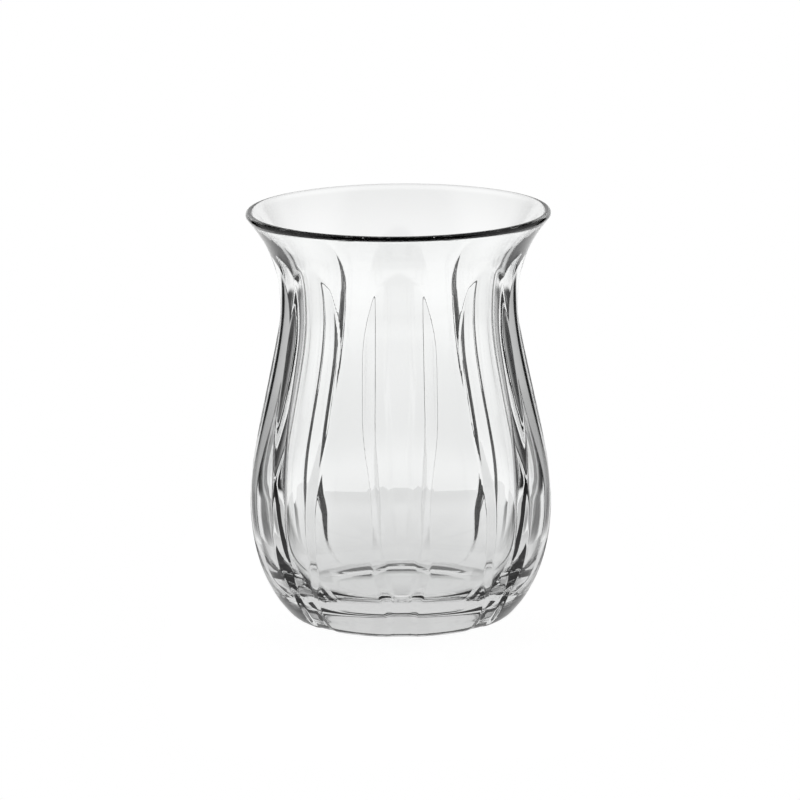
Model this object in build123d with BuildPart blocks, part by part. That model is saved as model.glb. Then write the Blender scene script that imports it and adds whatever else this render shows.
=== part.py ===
# Chai glass: a waisted, fluted tea glass pressed in one piece.
# Millimetres, +Z up, the foot ring rests on z = 0 and the glass turns about the Z axis.
import math
import os

from build123d import *

# Outside of the glass
HEIGHT = 87.0
RIM_RADIUS = 32.0
LIP_THICKNESS = 1.5
FLARE_ANGLE = 50.5
WAIST_RADIUS = 25.65
WAIST_HEIGHT = 69.0
BELLY_RADIUS = 32.3
BELLY_HEIGHT = 25.5
HEEL_RADIUS = 25.6
HEEL_HEIGHT = 3.4
HEEL_ANGLE = 49.0
FOOT_RADIUS = 20.6

# How far each curve of the outer wall holds its end direction
FLARE_PULL = 7.9
WAIST_PULL_UP = 6.6
WAIST_PULL_DOWN = 9.0
BELLY_PULL_UP = 13.0
BELLY_PULL_DOWN = 12.0
HEEL_PULL_UP = 2.3
HEEL_PULL_DOWN = 1.9
FOOT_PULL = 2.6

# Inside of the glass, and how far its curves hold their end direction
FLOOR_HEIGHT = 6.2
FLOOR_RADIUS = 16.0
BELLY_WALL = 2.95
WAIST_WALL = 2.9
INNER_BELLY_RISE = 3.5
INNER_WAIST_PULL = 15.0
INNER_BELLY_PULL_UP = 7.0
INNER_BELLY_PULL_DOWN = 12.0
FLOOR_PULL = 10.0

# Underside: a flat ring to stand on around a shallow hollow
RING_WIDTH = 3.6
PUNT_DEPTH = 1.0

# Flutes pressed into the outside: narrow at the foot, wide at the neck, run out in an arch under the flare
FLUTE_COUNT = 8
FLUTE_SIDE_ANGLE = 15.0
FOOT_FLUTE_DEPTH = 0.55
BELLY_FLUTE_DEPTH = 1.45
NECK_FLUTE_DEPTH = 1.8
FOOT_FLUTE_HALF_WIDTH = 1.9
BELLY_FLUTE_HALF_WIDTH = 3.05
NECK_FLUTE_HALF_WIDTH = 5.0
FLUTE_FADE_DEPTH = 2.3

# Heights between which the flutes change from one width and depth to the next
FOOT_FLUTE_TOP = 5.0
BELLY_FLUTE_BOTTOM = 18.0
BELLY_FLUTE_TOP = 28.0
NECK_FLUTE_BOTTOM = 48.0
NECK_FLUTE_TOP = 60.0
FLUTE_FADE_TOP = 86.0

# How far the flute cutter reaches past the wall and below the foot
FLUTE_OVERRUN = 3.0
FOOT_OVERRUN = 1.0

lip_radius = LIP_THICKNESS / 2
ring_inner_radius = FOOT_RADIUS - RING_WIDTH
belly_inner_radius = BELLY_RADIUS - BELLY_WALL
waist_inner_radius = WAIST_RADIUS - WAIST_WALL
belly_inner_height = BELLY_HEIGHT + INNER_BELLY_RISE

# Directions in the profile plane, where x is the radius and y the height
flare_way = Vector(math.cos(math.radians(FLARE_ANGLE)), math.sin(math.radians(FLARE_ANGLE)))
flare_out = Vector(flare_way.Y, -flare_way.X)
heel_way = Vector(math.cos(math.radians(HEEL_ANGLE)), math.sin(math.radians(HEEL_ANGLE)))
upward = Vector(0, 1)
outward = Vector(1, 0)

# Points where the curves of the wall meet
lip_middle = Vector(RIM_RADIUS - lip_radius, HEIGHT - lip_radius)
lip_outer = lip_middle + flare_out * lip_radius
lip_inner = lip_middle - flare_out * lip_radius
lip_top = lip_middle + flare_way * lip_radius
waist = Vector(WAIST_RADIUS, WAIST_HEIGHT)
belly = Vector(BELLY_RADIUS, BELLY_HEIGHT)
heel_top = Vector(HEEL_RADIUS, HEEL_HEIGHT)
foot_edge = Vector(FOOT_RADIUS, 0)
ring_edge = Vector(ring_inner_radius, 0)
punt_middle = Vector(0, PUNT_DEPTH)
floor_middle = Vector(0, FLOOR_HEIGHT)
floor_edge = Vector(FLOOR_RADIUS, FLOOR_HEIGHT)
belly_inner = Vector(belly_inner_radius, belly_inner_height)
waist_inner = Vector(waist_inner_radius, WAIST_HEIGHT)

# Points that each curve leans to on its way
foot_lean = foot_edge + outward * FOOT_PULL
heel_low_lean = heel_top - heel_way * HEEL_PULL_DOWN
heel_high_lean = heel_top + heel_way * HEEL_PULL_UP
belly_low_lean = belly - upward * BELLY_PULL_DOWN
belly_high_lean = belly + upward * BELLY_PULL_UP
waist_low_lean = waist - upward * WAIST_PULL_DOWN
waist_high_lean = waist + upward * WAIST_PULL_UP
lip_outer_lean = lip_outer - flare_way * FLARE_PULL
lip_inner_lean = lip_inner - flare_way * FLARE_PULL
waist_inner_high_lean = waist_inner + upward * WAIST_PULL_UP
waist_inner_low_lean = waist_inner - upward * INNER_WAIST_PULL
belly_inner_high_lean = belly_inner + upward * INNER_BELLY_PULL_UP
belly_inner_low_lean = belly_inner - upward * INNER_BELLY_PULL_DOWN
floor_lean = floor_edge + outward * FLOOR_PULL
punt_lean = punt_middle + outward * ring_inner_radius / 2

# Half section of the glass, turned about the Z axis: wall, lip, bowl, floor and foot
with BuildPart() as glass_body:
    with BuildSketch(Plane.XZ):
        with BuildLine():
            heel = Bezier(foot_edge, foot_lean, heel_low_lean, heel_top)
            bowl = Bezier(heel_top, heel_high_lean, belly_low_lean, belly)
            neck = Bezier(belly, belly_high_lean, waist_low_lean, waist)
            flare = Bezier(waist, waist_high_lean, lip_outer_lean, lip_outer)
            ThreePointArc(lip_outer, lip_top, lip_inner)
            Bezier(lip_inner, lip_inner_lean, waist_inner_high_lean, waist_inner)
            Bezier(waist_inner, waist_inner_low_lean, belly_inner_high_lean, belly_inner)
            Bezier(belly_inner, belly_inner_low_lean, floor_lean, floor_edge)
            Line(floor_edge, floor_middle)
            Line(floor_middle, punt_middle)
            Bezier(punt_middle, punt_lean, ring_edge)
            Line(ring_edge, foot_edge)
        make_face()
    revolve(axis=Axis.Z)


def eased(height, start, stop):
    """Smooth step from 0 at one height to 1 at another."""
    share = min(max((height - start) / (stop - start), 0.0), 1.0)
    return share * share * (3 - 2 * share)


def blended(height, at_foot, at_belly, at_neck):
    """Value of a flute's size at a height, from its values at the foot, the belly and the neck."""
    lower = eased(height, FOOT_FLUTE_TOP, BELLY_FLUTE_BOTTOM)
    upper = eased(height, BELLY_FLUTE_TOP, NECK_FLUTE_BOTTOM)
    return at_foot + (at_belly - at_foot) * lower + (at_neck - at_belly) * upper


# One flute as a cutter: a flat floor between two sloping sides, lofted up the wall
side_run = FLUTE_OVERRUN / math.tan(math.radians(FLUTE_SIDE_ANGLE))
wall_points = [heel @ 0 - upward * FOOT_OVERRUN - outward * FOOT_OVERRUN]
wall_points += [heel @ share for share in (0.3, 0.65)]
wall_points += [bowl @ share for share in (0.0, 0.15, 0.35, 0.65, 1.0)]
wall_points += [neck @ share for share in (0.25, 0.5, 0.75, 1.0)]
wall_points += [flare @ share for share in (0.2, 0.4, 0.6, 0.8)]

with BuildPart() as flute_cutter:
    for point in wall_points:
        depth = blended(point.Y, FOOT_FLUTE_DEPTH, BELLY_FLUTE_DEPTH, NECK_FLUTE_DEPTH)
        depth -= FLUTE_FADE_DEPTH * eased(point.Y, NECK_FLUTE_TOP, FLUTE_FADE_TOP)
        half_width = blended(point.Y, FOOT_FLUTE_HALF_WIDTH, BELLY_FLUTE_HALF_WIDTH, NECK_FLUTE_HALF_WIDTH)
        mouth_half = half_width + side_run
        floor_distance = point.X - depth
        reach = floor_distance + FLUTE_OVERRUN
        with BuildSketch(Plane.XY.offset(point.Y)):
            with BuildLine():
                Polyline(
                    (floor_distance, -half_width),
                    (floor_distance, half_width),
                    (reach, mouth_half),
                    (reach, -mouth_half),
                    close=True,
                )
            make_face()
    loft()

with BuildPart(mode=Mode.PRIVATE) as all_cutters:
    with PolarLocations(0, FLUTE_COUNT, start_angle=-90):
        add(flute_cutter.part)

with glass_body:
    add(all_cutters.part, mode=Mode.SUBTRACT)

glass_body.part.label = "glass_body"

os.makedirs("parts", exist_ok=True)
export_step(glass_body.part, "parts/glass_body.step")
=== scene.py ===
"""Looks of a chai glass: a waisted, fluted tea glass of clear pressed glass on a pale studio floor."""
import logging
import math
from dataclasses import dataclass, field
from enum import Enum
from typing import Union

import bpy
import numpy as np
from mathutils import Matrix, Vector


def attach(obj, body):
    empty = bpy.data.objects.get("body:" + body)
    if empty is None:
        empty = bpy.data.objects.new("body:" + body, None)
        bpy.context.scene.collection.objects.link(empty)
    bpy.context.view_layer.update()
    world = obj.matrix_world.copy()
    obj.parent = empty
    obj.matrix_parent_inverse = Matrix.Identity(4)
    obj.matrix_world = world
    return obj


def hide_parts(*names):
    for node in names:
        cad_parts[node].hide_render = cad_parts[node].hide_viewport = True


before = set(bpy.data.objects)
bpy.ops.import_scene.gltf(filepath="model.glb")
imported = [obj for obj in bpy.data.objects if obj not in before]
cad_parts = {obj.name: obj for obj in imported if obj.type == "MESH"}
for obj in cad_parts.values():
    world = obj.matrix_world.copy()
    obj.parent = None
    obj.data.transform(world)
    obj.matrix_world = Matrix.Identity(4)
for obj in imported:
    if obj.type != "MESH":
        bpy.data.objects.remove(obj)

logging.basicConfig(level=logging.INFO, format="%(name)s: %(message)s")
log = logging.getLogger("chai_glass")

MM = 0.001
CURVE_STEPS = 400
Colour = tuple[float, float, float]
Number = Union[float, "Shade"]


class Ray(Enum):
    """The kinds of ray that the studio answers differently."""

    CAMERA = "Is Camera Ray"
    GLOSSY = "Is Glossy Ray"
    TRANSMISSION = "Is Transmission Ray"


class Shade:
    """A number or colour in a shader, so that shader maths reads as Python expressions."""

    def __init__(self, sheet: "NodeSheet", socket: bpy.types.NodeSocket) -> None:
        """Keeps the node sheet and the output socket that carries the value.

        Args:
            sheet: node sheet that the socket belongs to.
            socket: output socket with the value.
        """
        self.sheet = sheet
        self.socket = socket

    def _maths(self, operation: str, *values: Number) -> "Shade":
        """Returns one maths node's result for the values."""
        return self.sheet.node("ShaderNodeMath", {"operation": operation}, dict(enumerate(values)))

    def __add__(self, other: Number) -> "Shade":
        """Returns the sum."""
        return self._maths("ADD", self, other)

    def __radd__(self, other: Number) -> "Shade":
        """Returns the sum with the number on the left."""
        return self._maths("ADD", other, self)

    def __sub__(self, other: Number) -> "Shade":
        """Returns the difference."""
        return self._maths("SUBTRACT", self, other)

    def __rsub__(self, other: Number) -> "Shade":
        """Returns the difference with the number on the left."""
        return self._maths("SUBTRACT", other, self)

    def __mul__(self, other: Number) -> "Shade":
        """Returns the product."""
        return self._maths("MULTIPLY", self, other)

    def __rmul__(self, other: Number) -> "Shade":
        """Returns the product with the number on the left."""
        return self._maths("MULTIPLY", other, self)

    def __abs__(self) -> "Shade":
        """Returns the size without its sign."""
        return self._maths("ABSOLUTE", self)

    def maximum(self, other: Number) -> "Shade":
        """Returns the larger of the two."""
        return self._maths("MAXIMUM", self, other)

    def arctan2(self, other: Number) -> "Shade":
        """Returns the angle whose tangent is this over the other."""
        return self._maths("ARCTAN2", self, other)

    def root(self) -> "Shade":
        """Returns the square root."""
        return self._maths("SQRT", self)

    def ramp(self, start: float, stop: float, low: float = 0.0, high: float = 1.0) -> "Shade":
        """Eases from one level to another as this value goes from start to stop.

        Args:
            start: value where the ramp leaves the first level.
            stop: value where the ramp reaches the second level.
            low: level at the start.
            high: level at the stop.

        Returns:
            The eased level, held outside the two ends.
        """
        settings = {"interpolation_type": "SMOOTHSTEP", "clamp": True}
        return self.sheet.node("ShaderNodeMapRange", settings, {0: self, 1: start, 2: stop, 3: low, 4: high})


class NodeSheet:
    """A material's or world's shader, built node by node."""

    def __init__(self, owner: Union[bpy.types.Material, bpy.types.World]) -> None:
        """Clears the owner's shader for a new one.

        Args:
            owner: material or world that carries the shader.
        """
        owner.use_nodes = True
        self.tree = owner.node_tree
        self.tree.nodes.clear()

    def node(self, kind: str, settings: dict, values: dict, output: Union[int, str] = 0) -> Shade:
        """Adds a node, sets its choices first and then its sockets.

        Args:
            kind: type name of the node.
            settings: choices of the node, by name.
            values: numbers, colours or shades for its sockets, by name or place.
            output: name or place of the socket that is handed back.

        Returns:
            The chosen output as a shade.
        """
        made = self.tree.nodes.new(kind)
        for name, choice in settings.items():
            setattr(made, name, choice)
        for name, value in values.items():
            if isinstance(value, Shade):
                self.tree.links.new(value.socket, made.inputs[name])
            else:
                made.inputs[name].default_value = value
        return Shade(self, made.outputs[output]) if made.outputs else Shade(self, None)

    def ray(self, kind: Ray) -> Shade:
        """Returns 1 where the ray is of that kind and 0 elsewhere."""
        return self.node("ShaderNodeLightPath", {}, {}, kind.value)

    def place(self, which: str) -> tuple[Shade, Shade, Shade]:
        """Returns the x, y and z of a texture coordinate."""
        point = self.node("ShaderNodeTexCoord", {}, {}, which)
        return tuple(self.node("ShaderNodeSeparateXYZ", {}, {0: point}, axis) for axis in "XYZ")

    def grey(self, level: Shade) -> Shade:
        """Returns a neutral colour of that level."""
        return self.node("ShaderNodeCombineColor", {}, {0: level, 1: level, 2: level})


@dataclass(frozen=True)
class ClearGlass:
    """Clear soda-lime glass with fire-polished faces, a faint pressed ripple and a slightly worn foot ring.

    Polish and wear are roughness, heights are metres, and scales count features in a metre.
    """

    index: float = 1.52
    polish: float = 0.0
    wear: float = 0.05
    wear_top: float = 0.25 * MM
    scuff_scale: float = 900.0
    scuff_detail: float = 3.0
    scuff_start: float = 0.35
    scuff_full: float = 0.7
    ripple_scale: float = 55.0
    ripple_detail: float = 1.0
    ripple_height: float = 0.010 * MM
    tint: Colour = (0.995, 1.0, 0.998)

    def material(self, name: str) -> bpy.types.Material:
        """Makes the glass: clear everywhere but on the foot ring, where standing has dulled it in patches.

        Args:
            name: name of the material.

        Returns:
            The finished material.
        """
        made = bpy.data.materials.new(name)
        sheet = NodeSheet(made)
        point = sheet.node("ShaderNodeTexCoord", {}, {}, "Object")
        _, _, height = sheet.place("Object")
        scuffs = sheet.node("ShaderNodeTexNoise", {}, {
            "Vector": point,
            "Scale": self.scuff_scale,
            "Detail": self.scuff_detail,
        })
        worn = height.ramp(self.wear_top, 0.0) * scuffs.ramp(self.scuff_start, self.scuff_full)
        ripple = sheet.node("ShaderNodeTexNoise", {}, {
            "Vector": point,
            "Scale": self.ripple_scale,
            "Detail": self.ripple_detail,
        })
        relief = sheet.node("ShaderNodeBump", {}, {
            "Height": ripple,
            "Strength": 1.0,
            "Distance": self.ripple_height,
        })
        surface = sheet.node("ShaderNodeBsdfPrincipled", {}, {
            "Base Color": (*self.tint, 1.0),
            "Roughness": self.polish + worn * self.wear,
            "IOR": self.index,
            "Transmission Weight": 1.0,
            "Normal": relief,
        })
        sheet.node("ShaderNodeOutputMaterial", {}, {"Surface": surface})
        return made


@dataclass(frozen=True)
class StudioSurround:
    """Soft studio: a bright screen behind the glass, a dark flag at each side of it, grey sides and wings.

    In front lie a dim room and, below it, a lighter table. Directions well down meet a white sweep. Turns are
    degrees from straight behind the glass, and slants are the upward part of a direction of length 1.
    """

    screen_edge: float = 30.0
    flag_start: float = 36.0
    flag_end: float = 43.0
    side_start: float = 56.0
    side_end: float = 66.0
    wing_start: float = 80.0
    front_start: float = 100.0
    front_end: float = 130.0
    screen_level: float = 0.9
    flag_level: float = 0.01
    side_level: float = 0.55
    wing_level: float = 0.85
    above_share: float = 0.72
    room_level: float = 0.04
    table_level: float = 0.72
    sweep_level: float = 0.95
    screen_slants: tuple[float, float] = (-0.26, -0.14)
    above_slants: tuple[float, float] = (-0.03, 0.07)
    room_slants: tuple[float, float] = (-0.14, 0.03)
    sweep_slants: tuple[float, float] = (-0.5, -0.36)

    def around(self, across: Shade, along: Shade) -> tuple[Shade, Shade]:
        """Levels round the back of the glass, and how far a place is in the front half.

        Args:
            across: x of the place or direction.
            along: y of the place or direction.

        Returns:
            Level from the screen past the flags to the wings, and 0 at the back to 1 in front.
        """
        turn = abs(across.arctan2(along)) * math.degrees(1.0)
        screen = turn.ramp(self.screen_edge, self.flag_start, 1.0, self.flag_level)
        sides = turn.ramp(self.flag_end, self.side_start, 0.0, self.side_level)
        wings = turn.ramp(self.side_end, self.wing_start, 0.0, self.wing_level - self.side_level)
        return screen + sides + wings, turn.ramp(self.front_start, self.front_end)

    def dress(self, world: bpy.types.World) -> None:
        """Paints the surround on the world, white where the camera sees it.

        Args:
            world: world of the scene.
        """
        sheet = NodeSheet(world)
        across, along, up = sheet.place("Generated")
        back, front = self.around(across, along)
        back = back * up.ramp(*self.screen_slants, 1.0, self.screen_level)
        back = back * up.ramp(*self.above_slants, 1.0, self.above_share)
        room = up.ramp(*self.room_slants, self.table_level, self.room_level)
        level = back + (room - back) * front
        level = level + (self.sweep_level - level) * up.ramp(*self.sweep_slants, 1.0, 0.0)
        camera = sheet.ray(Ray.CAMERA)
        level = level + (1.0 - level) * camera
        light = sheet.node("ShaderNodeBackground", {}, {"Color": sheet.grey(level), "Strength": 1.0})
        sheet.node("ShaderNodeOutputWorld", {}, {"Surface": light})


@dataclass(frozen=True)
class PaleFloor:
    """Pale floor, white to the camera with a faint soft shadow, and seen through the glass as light grey.

    Through the glass it glows with painted shade: a painted contact shadow near the foot, and further out the
    surround's levels and dark flags painted on as shade. Reaches are metres from the middle of the glass.
    """

    paint: float = 0.9
    shadow_share: float = 0.22
    # painted contact shadow: the floor's glow level near the foot, seen only through the glass
    painted_foot_shadow: float = 0.82
    painted_shadow_reach: float = 0.028
    # reach where the painted flag shade on the floor is fully on
    flag_shade_reach: float = 0.08
    lift: float = 1.22
    surround: StudioSurround = field(default_factory=StudioSurround)

    def material(self, name: str) -> bpy.types.Material:
        """Makes the floor: plain pale paint, lifted to white for the camera, glowing with painted shade for
        the glass.

        Args:
            name: name of the material.

        Returns:
            The finished material.
        """
        made = bpy.data.materials.new(name)
        sheet = NodeSheet(made)
        camera = sheet.ray(Ray.CAMERA)
        colour = (self.paint, self.paint, self.paint, 1.0)
        paint = sheet.node("ShaderNodeBsdfDiffuse", {}, {"Color": colour})
        across, along, _ = sheet.place("Object")
        reach = (across * across + along * along).root()
        back, front = self.surround.around(across, along)
        # painted shade: the surround's screen, dark flags and sides painted onto the floor for the glass to
        # see
        painted_flag_shade = back + (1.0 - back) * front
        # painted contact shadow near the foot, easing out to the painted flag shade further away
        painted_shade = self.painted_foot_shadow + (painted_flag_shade - self.painted_foot_shadow) * reach.ramp(self.painted_shadow_reach, self.flag_shade_reach)
        # camera rays see the floor lifted to white; glossy and transmission rays see the glowing painted
        # shade
        level = painted_shade + (self.lift - painted_shade) * camera
        glow = sheet.node("ShaderNodeEmission", {}, {"Color": sheet.grey(level)})
        seen = camera.maximum(sheet.ray(Ray.GLOSSY)).maximum(sheet.ray(Ray.TRANSMISSION))
        share = seen * (1.0 - self.shadow_share)
        surface = sheet.node("ShaderNodeMixShader", {}, {0: share, 1: paint, 2: glow})
        sheet.node("ShaderNodeOutputMaterial", {}, {"Surface": surface})
        return made


def bezier(points: list[np.ndarray], count: int) -> np.ndarray:
    """Points along a Bezier curve, evenly spaced in its length, by blending its control points.

    Args:
        points: control points of the curve.
        count: number of points wanted.

    Returns:
        The points, one per row.
    """
    share = np.linspace(0.0, 1.0, CURVE_STEPS)[:, None]
    degree = len(points) - 1
    weights = [math.comb(degree, k) * share**k * (1 - share) ** (degree - k) for k in range(degree + 1)]
    fine = sum(weight * point for weight, point in zip(weights, points))
    run = np.concatenate([[0.0], np.cumsum(np.linalg.norm(np.diff(fine, axis=0), axis=1))])
    wanted = np.linspace(0.0, run[-1], count)
    return np.stack([np.interp(wanted, run, fine[:, axis]) for axis in range(2)], axis=1)


def ease(value: np.ndarray, start: float, stop: float) -> np.ndarray:
    """Smooth step from 0 at start to 1 at stop.

    Args:
        value: numbers to ease.
        start: where the step begins.
        stop: where the step ends.

    Returns:
        The eased numbers.
    """
    share = np.clip((value - start) / (stop - start), 0.0, 1.0)
    return share * share * (3.0 - 2.0 * share)


def rounded_min(first: np.ndarray, second: np.ndarray, width: float) -> np.ndarray:
    """Lesser of two heights with the crossing rounded over a width.

    Args:
        first: one surface.
        second: the other surface.
        width: difference of the two over which the crossing is rounded.

    Returns:
        The lesser, dipped by a parabola near the crossing.
    """
    share = np.clip(0.5 + 0.5 * (second - first) / width, 0.0, 1.0)
    return second * (1 - share) + first * share - width * share * (1 - share)


@dataclass
class GlassBody:
    """The glass itself, in millimetres and degrees: wall, lip, bowl, floor, foot ring, punt and flutes."""

    height: float = 87.0
    rim_radius: float = 32.0
    lip_thickness: float = 1.5
    flare_angle: float = 50.5
    waist_radius: float = 25.65
    waist_height: float = 69.0
    belly_radius: float = 32.3
    belly_height: float = 25.5
    heel_radius: float = 25.6
    heel_height: float = 3.4
    heel_angle: float = 49.0
    foot_radius: float = 20.6
    flare_pull: float = 7.9
    waist_pull_up: float = 6.6
    waist_pull_down: float = 9.0
    belly_pull_up: float = 13.0
    belly_pull_down: float = 12.0
    heel_pull_up: float = 2.3
    heel_pull_down: float = 1.9
    foot_pull: float = 2.6
    floor_height: float = 6.2
    floor_radius: float = 16.0
    belly_wall: float = 2.95
    waist_wall: float = 2.9
    inner_belly_rise: float = 3.5
    inner_waist_pull: float = 15.0
    inner_belly_pull_up: float = 7.0
    inner_belly_pull_down: float = 12.0
    floor_pull: float = 10.0
    ring_width: float = 3.6
    punt_depth: float = 1.0
    flute_count: int = 8
    flute_side_angle: float = 15.0
    flute_depths: tuple[float, float, float] = (0.55, 1.45, 1.8)
    flute_half_widths: tuple[float, float, float] = (1.9, 3.05, 5.0)
    flute_fade_depth: float = 2.3
    flute_foot_top: float = 5.0
    flute_belly_bottom: float = 18.0
    flute_belly_top: float = 28.0
    flute_neck_bottom: float = 48.0
    flute_neck_top: float = 60.0
    flute_fade_top: float = 86.0
    edge_round: float = 0.04
    outer_points: tuple[int, int, int, int] = (14, 26, 34, 28)
    inner_points: tuple[int, int, int] = (15, 16, 22)
    lip_points: int = 11
    floor_points: int = 6
    punt_points: int = 9
    ring_points: int = 5
    column_edges: tuple[float, float] = (4.0, 18.0)
    column_counts: tuple[int, int, int] = (5, 26, 3)
    finish: ClearGlass = field(default_factory=ClearGlass)

    def outside(self) -> np.ndarray:
        """Profile of the outer wall from the foot edge up to the lip: four curves that share tangents.

        Returns:
            Radius and height of each point, from the foot up.
        """
        flare_way, flare_out, heel_way = self._ways()
        up, out = np.array([0.0, 1.0]), np.array([1.0, 0.0])
        foot = np.array([self.foot_radius, 0.0])
        heel = np.array([self.heel_radius, self.heel_height])
        belly = np.array([self.belly_radius, self.belly_height])
        waist = np.array([self.waist_radius, self.waist_height])
        lip = self._lip_middle() + flare_out * self.lip_thickness / 2
        curves = [
            [foot, foot + out * self.foot_pull, heel - heel_way * self.heel_pull_down, heel],
            [heel, heel + heel_way * self.heel_pull_up, belly - up * self.belly_pull_down, belly],
            [belly, belly + up * self.belly_pull_up, waist - up * self.waist_pull_down, waist],
            [waist, waist + up * self.waist_pull_up, lip - flare_way * self.flare_pull, lip],
        ]
        parts = [bezier(curve, count) for curve, count in zip(curves, self.outer_points)]
        return np.vstack([parts[0]] + [part[1:] for part in parts[1:]])

    def inside(self) -> np.ndarray:
        """Profile from the lip over into the bowl, down the inner wall and in to the middle of the floor.

        Returns:
            Radius and height of each point, from the lip down.
        """
        flare_way, flare_out, _ = self._ways()
        up, out = np.array([0.0, 1.0]), np.array([1.0, 0.0])
        turn = np.linspace(0.0, math.pi, self.lip_points)[1:-1, None]
        lip_radius = self.lip_thickness / 2
        lip = self._lip_middle() + lip_radius * (np.cos(turn) * flare_out + np.sin(turn) * flare_way)
        edge = self._lip_middle() - flare_out * lip_radius
        waist = np.array([self.waist_radius - self.waist_wall, self.waist_height])
        belly = np.array([self.belly_radius - self.belly_wall, self.belly_height + self.inner_belly_rise])
        floor = np.array([self.floor_radius, self.floor_height])
        curves = [
            [edge, edge - flare_way * self.flare_pull, waist + up * self.waist_pull_up, waist],
            [waist, waist - up * self.inner_waist_pull, belly + up * self.inner_belly_pull_up, belly],
            [belly, belly - up * self.inner_belly_pull_down, floor + out * self.floor_pull, floor],
        ]
        flare, neck, bowl = (bezier(curve, count) for curve, count in zip(curves, self.inner_points))
        reach = np.linspace(self.floor_radius, 0.0, self.floor_points)[1:-1]
        flat = np.stack([reach, np.full_like(reach, self.floor_height)], axis=1)
        return np.vstack([lip, flare, neck[1:], bowl[1:], flat])

    def underside(self) -> np.ndarray:
        """Profile of the underside, from near the middle of the punt out over the flat foot ring.

        Returns:
            Radius and height of each point, from the middle out.
        """
        ring = self.foot_radius - self.ring_width
        leans = ((0.0, self.punt_depth), (ring / 2, self.punt_depth), (ring, 0.0))
        punt = bezier([np.array(lean) for lean in leans], self.punt_points)
        reach = np.linspace(ring, self.foot_radius, self.ring_points)[1:-1]
        flat = np.stack([reach, np.zeros_like(reach)], axis=1)
        return np.vstack([punt[1:], flat])

    def columns(self) -> np.ndarray:
        """Angles round the glass from the front, set closer together where the flutes turn.

        The column edges, counted from the middle of a flute, part the spans with a count of columns each.

        Returns:
            The angles in radians, over one turn.
        """
        half = math.pi / self.flute_count
        edges = [0.0, *np.radians(self.column_edges), half]
        spans = zip(edges[:-1], edges[1:], self.column_counts)
        runs = [np.linspace(start, stop, count, endpoint=False) for start, stop, count in spans]
        run = np.concatenate(runs)
        period = np.concatenate([run, 2 * half - np.append(half, run[:0:-1])])
        return (period[None, :] + np.arange(self.flute_count)[:, None] * 2 * half).ravel()

    def fluted(self, radius: np.ndarray, height: np.ndarray, angle: np.ndarray) -> np.ndarray:
        """Radius of the fluted wall: each flute is a flat floor between two sloping sides, cut in the round.

        At an angle a off the middle of a flute, a flat floor at a distance d from the axis lies at d / cos a.
        A side that leaves the floor at a half width w with a slope m lies at (d - m w) / (cos a - m sin a).
        The wall is the lesser of the round and the greater of floor and side, with both crossings rounded.

        Args:
            radius: radius of the round wall, one per row.
            height: height of each row.
            angle: angle of each column.

        Returns:
            Radius at each row and column.
        """
        period = 2 * math.pi / self.flute_count
        off = np.abs((angle + period / 2) % period - period / 2)[None, :]
        lower = ease(height, self.flute_foot_top, self.flute_belly_bottom)
        upper = ease(height, self.flute_belly_top, self.flute_neck_bottom)
        fade = ease(height, self.flute_neck_top, self.flute_fade_top)
        depth, width = (
            foot + (belly - foot) * lower + (neck - belly) * upper
            for foot, belly, neck in (self.flute_depths, self.flute_half_widths)
        )
        depth = depth - self.flute_fade_depth * fade
        width = width[:, None]
        slope = math.tan(math.radians(self.flute_side_angle))
        floor_distance = (radius - depth)[:, None]
        floor = floor_distance / np.cos(off)
        side = (floor_distance - slope * width) / (np.cos(off) - slope * np.sin(off))
        cut = -rounded_min(-floor, -side, self.edge_round)
        return rounded_min(radius[:, None], cut, self.edge_round)

    def build(self) -> bpy.types.Object:
        """Builds the glass as one closed skin: profile rows turned round the axis, with a fan at each middle.

        Returns:
            The glass as a mesh object.
        """
        under, outer, inner = self.underside(), self.outside(), self.inside()
        angle = self.columns()
        rows = np.vstack([under, outer, inner])
        radius = np.repeat(rows[:, :1], len(angle), axis=1)
        first, last = len(under), len(under) + len(outer)
        radius[first:last] = self.fluted(outer[:, 0], outer[:, 1], angle)
        tall = np.repeat(rows[:, 1:], len(angle), axis=1)
        skin = np.stack([radius * np.sin(angle), -radius * np.cos(angle), tall], axis=-1).reshape(-1, 3)
        middles = np.array([[0.0, 0.0, self.punt_depth], [0.0, 0.0, self.floor_height]])
        points = np.vstack([skin, middles]) * MM
        turn = np.arange(len(angle))
        ahead = np.roll(turn, -1)
        base = np.arange(len(rows) - 1)[:, None] * len(angle)
        above = base + len(angle)
        quads = np.stack([base + turn, base + ahead, above + ahead, above + turn], axis=-1)
        top = (len(rows) - 1) * len(angle)
        low_fan = np.stack([ahead, turn, np.full_like(turn, len(skin))], axis=1)
        high_fan = np.stack([top + turn, top + ahead, np.full_like(turn, len(skin) + 1)], axis=1)
        mesh = bpy.data.meshes.new("clear_glass")
        mesh.from_pydata(points, [], quads.reshape(-1, 4).tolist() + low_fan.tolist() + high_fan.tolist())
        mesh.shade_smooth()
        mesh.validate()
        made = bpy.data.objects.new("clear_glass", mesh)
        bpy.context.scene.collection.objects.link(made)
        log.info("clear_glass: %d points, %d faces", len(mesh.vertices), len(mesh.polygons))
        return made

    def dress(self, piece: bpy.types.Object) -> None:
        """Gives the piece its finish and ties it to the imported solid.

        Args:
            piece: the built glass.
        """
        piece.data.materials.append(self.finish.material("clear_glass"))
        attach(piece, "root")
        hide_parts("glass_body")

    def _ways(self) -> tuple[np.ndarray, np.ndarray, np.ndarray]:
        """Returns the directions up the flare, out of the flare and up the heel."""
        flare, heel = math.radians(self.flare_angle), math.radians(self.heel_angle)
        flare_way = np.array([math.cos(flare), math.sin(flare)])
        return flare_way, np.array([flare_way[1], -flare_way[0]]), np.array([math.cos(heel), math.sin(heel)])

    def _lip_middle(self) -> np.ndarray:
        """Returns the middle of the rounded lip in the profile."""
        return np.array([self.rim_radius - self.lip_thickness / 2, self.height - self.lip_thickness / 2])


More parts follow.
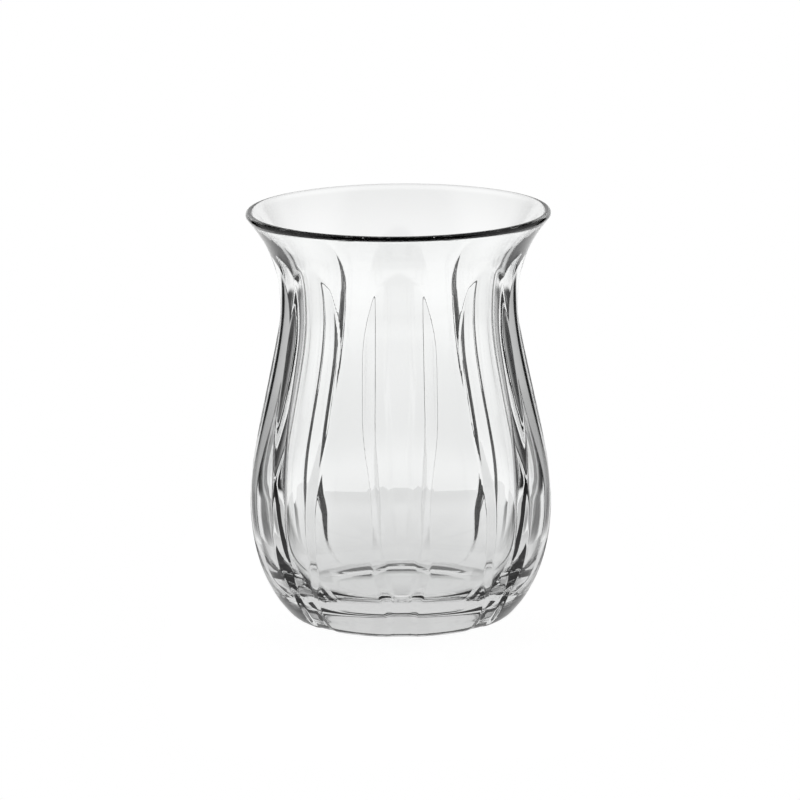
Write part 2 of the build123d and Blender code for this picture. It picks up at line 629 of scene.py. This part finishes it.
@dataclass
class Studio:
    """Pale floor, soft surround and the camera, with lengths in metres and angles in degrees."""

    floor_half_depth: float = 0.118
    floor_half_width: float = 0.05
    floor_points: int = 96
    floor_drop: float = 0.02 * MM
    sensor_width: float = 36.0
    distance: float = 1.3
    elevation: float = 12.1
    target_height: float = 0.0435
    picture_span: float = 0.16872
    shift_up: float = 0.01565
    roll: float = -0.5
    bounces: int = 7
    floor: PaleFloor = field(default_factory=PaleFloor)
    surround: StudioSurround = field(default_factory=StudioSurround)

    def build(self) -> None:
        """Sets the floor, the surround and the camera, and the plain picture settings."""
        self._lay_floor()
        scene = bpy.context.scene
        scene.world = bpy.data.worlds.new("studio")
        self.surround.dress(scene.world)
        self._place_camera()
        scene.view_settings.view_transform = "Standard"
        scene.cycles.max_bounces = self.bounces
        scene.cycles.glossy_bounces = self.bounces
        scene.cycles.transmission_bounces = self.bounces
        sides = (2 * self.floor_half_width / MM, 2 * self.floor_half_depth / MM)
        log.info("studio: floor %.0f by %.0f mm", *sides)

    def _lay_floor(self) -> None:
        """Lays a board with rounded corners just under the foot ring.

        Its edge is an ellipse swelled towards a rectangle. Across, a point lies at the half width times the
        root of the cosine, and along, at the half depth times the root of the sine, each with its sign.
        """
        turn = np.linspace(0.0, 2 * math.pi, self.floor_points, endpoint=False)
        across, along = (np.sign(way) * np.sqrt(np.abs(way)) for way in (np.cos(turn), np.sin(turn)))
        level = np.zeros_like(turn)
        points = np.stack([across * self.floor_half_width, along * self.floor_half_depth, level], axis=1)
        mesh = bpy.data.meshes.new("floor")
        mesh.from_pydata(points, [], [list(range(len(points)))])
        mesh.materials.append(self.floor.material("pale_floor"))
        floor = bpy.data.objects.new("floor", mesh)
        floor.location.z = -self.floor_drop
        bpy.context.scene.collection.objects.link(floor)

    def _place_camera(self) -> None:
        """Aims the camera along +Y, a little down on the glass."""
        lens = bpy.data.cameras.new("camera")
        lens.sensor_width = self.sensor_width
        lens.lens = lens.sensor_width * self.distance / self.picture_span
        lens.shift_y = self.shift_up
        camera = bpy.data.objects.new("camera", lens)
        rise = math.radians(self.elevation)
        away = Vector((0.0, -math.cos(rise), math.sin(rise)))
        aim = (-away).to_track_quat("-Z", "Y").to_matrix().to_4x4()
        place = Matrix.Translation(Vector((0.0, 0.0, self.target_height)) + away * self.distance)
        camera.matrix_world = place @ aim @ Matrix.Rotation(math.radians(self.roll), 4, "Z")
        bpy.context.scene.collection.objects.link(camera)
        bpy.context.scene.camera = camera


def main() -> None:
    """Builds the glass and its studio."""
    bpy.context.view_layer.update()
    glass = GlassBody()
    glass.dress(glass.build())
    Studio().build()


if __name__ == "__main__":
    main()
